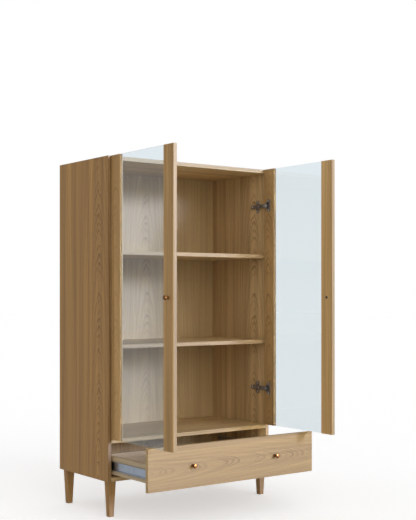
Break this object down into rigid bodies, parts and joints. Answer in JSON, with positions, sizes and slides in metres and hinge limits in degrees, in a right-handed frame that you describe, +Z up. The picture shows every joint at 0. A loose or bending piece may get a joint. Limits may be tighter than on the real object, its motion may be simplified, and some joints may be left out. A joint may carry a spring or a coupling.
{
  "type": "china cabinet",
  "caption": "Tall oak display cabinet with frameless-top glass doors on concealed cup hinges, shelves inside and a full-width drawer below, on tapered legs.",
  "frame": {"origin": "on the floor, under the middle of the whole footprint with the doors open and the drawer out, as it rests", "axes": "+Z up; -Y the way the doors and the drawer open; +X to the right of someone facing the front"},
  "size_m": [1.0208, 0.959, 1.707],
  "materials": {
    "oak_outer": "matt lacquered oak veneer, upright cathedral grain",
    "oak_inner": "matt lacquered oak veneer",
    "oak_front": "matt lacquered oak, straight grain",
    "drawer_board": "matt lacquered light wood",
    "clear_glass": "polished clear glass",
    "dark_steel": "satin dark plated",
    "slide_steel": "zinc plated",
    "bronze": "dark bronze, satin"
  },
  "bodies": {
    "carcass": {"side_left": "oak_outer", "side_right": "oak_outer", "top_panel": "oak_inner", "display_floor": "oak_inner", "base_panel": "oak_inner", "back_panel": "oak_inner", "shelf_upper": "oak_inner", "shelf_lower": "oak_inner", "shelf_pin_upper_left_front": "slide_steel", "shelf_pin_upper_left_back": "slide_steel", "shelf_pin_upper_right_front": "slide_steel", "shelf_pin_upper_right_back": "slide_steel", "shelf_pin_lower_left_front": "slide_steel", "shelf_pin_lower_left_back": "slide_steel", "shelf_pin_lower_right_front": "slide_steel", "shelf_pin_lower_right_back": "slide_steel", "leg_front_left": "oak_outer", "leg_front_right": "oak_outer", "leg_back_left": "oak_outer", "leg_back_right": "oak_outer", "slide_rail_left": "slide_steel", "hinge_plate_left_upper": "dark_steel", "hinge_arm_left_upper": "dark_steel", "hinge_plate_left_lower": "dark_steel", "hinge_arm_left_lower": "dark_steel", "slide_rail_right": "slide_steel", "hinge_plate_right_upper": "dark_steel", "hinge_arm_right_upper": "dark_steel", "hinge_plate_right_lower": "dark_steel", "hinge_arm_right_lower": "dark_steel"},
    "left_outer_links": {"outer_link_left_upper": "dark_steel", "outer_link_left_lower": "dark_steel"},
    "left_inner_links": {"inner_link_left_upper": "dark_steel", "inner_link_left_lower": "dark_steel"},
    "left_door": {"door_left_hinge_stile": "oak_front", "door_left_free_stile": "oak_front", "door_left_glass": "clear_glass", "door_left_knob": "bronze", "hinge_cup_left_upper": "dark_steel", "hinge_cup_left_lower": "dark_steel"},
    "right_outer_links": {"outer_link_right_upper": "dark_steel", "outer_link_right_lower": "dark_steel"},
    "right_inner_links": {"inner_link_right_upper": "dark_steel", "inner_link_right_lower": "dark_steel"},
    "right_door": {"door_right_hinge_stile": "oak_front", "door_right_free_stile": "oak_front", "door_right_glass": "clear_glass", "door_right_knob": "bronze", "hinge_cup_right_upper": "dark_steel", "hinge_cup_right_lower": "dark_steel"},
    "drawer": {"drawer_front": "oak_front", "drawer_side_left": "drawer_board", "drawer_side_right": "drawer_board", "drawer_back": "drawer_board", "drawer_bottom": "drawer_board", "drawer_runner_left": "slide_steel", "drawer_runner_right": "slide_steel", "drawer_knob_left": "bronze", "drawer_knob_right": "bronze"}
  },
  "joints": [
    {"name": "left_outer_link_pivot", "type": "hinge", "parent": "carcass", "child": "left_outer_links", "pos_m": [-0.46374, 0.02933, 1.03925], "axis": [0, 0, 1], "range_deg": [-49, 3]},
    {"name": "left_door_pivot", "type": "hinge", "parent": "left_outer_links", "child": "left_door", "pos_m": [-0.4684, 0.0045, 1.03925], "axis": [0, 0, 1], "range_deg": [-7.71, 138.85]},
    {"name": "left_inner_link_pivot", "type": "hinge", "parent": "carcass", "child": "left_inner_links", "pos_m": [-0.45704, 0.02653, 1.03925], "axis": [0, 0, 1], "range_deg": [-36.2, 2.3]},
    {"name": "right_outer_link_pivot", "type": "hinge", "parent": "carcass", "child": "right_outer_links", "pos_m": [0.46374, 0.02933, 1.03925], "axis": [0, 0, -1], "range_deg": [-49, 3]},
    {"name": "right_door_pivot", "type": "hinge", "parent": "right_outer_links", "child": "right_door", "pos_m": [0.4684, 0.0045, 1.03925], "axis": [0, 0, -1], "range_deg": [-7.71, 138.85]},
    {"name": "right_inner_link_pivot", "type": "hinge", "parent": "carcass", "child": "right_inner_links", "pos_m": [0.45704, 0.02653, 1.03925], "axis": [0, 0, -1], "range_deg": [-36.2, 2.3]},
    {"name": "drawer_slide", "type": "slide", "parent": "carcass", "child": "drawer", "axis": [0, -1, 0], "range_m": [-0.307, 0.018]}
  ],
  "couplings": [
    {"joint": "left_outer_link_pivot", "follows": "left_door_pivot", "ratio": -0.35182},
    {"joint": "left_inner_link_pivot", "follows": "left_door_pivot", "ratio": -0.25927},
    {"joint": "right_outer_link_pivot", "follows": "right_door_pivot", "ratio": -0.35182},
    {"joint": "right_inner_link_pivot", "follows": "right_door_pivot", "ratio": -0.25927}
  ]
}
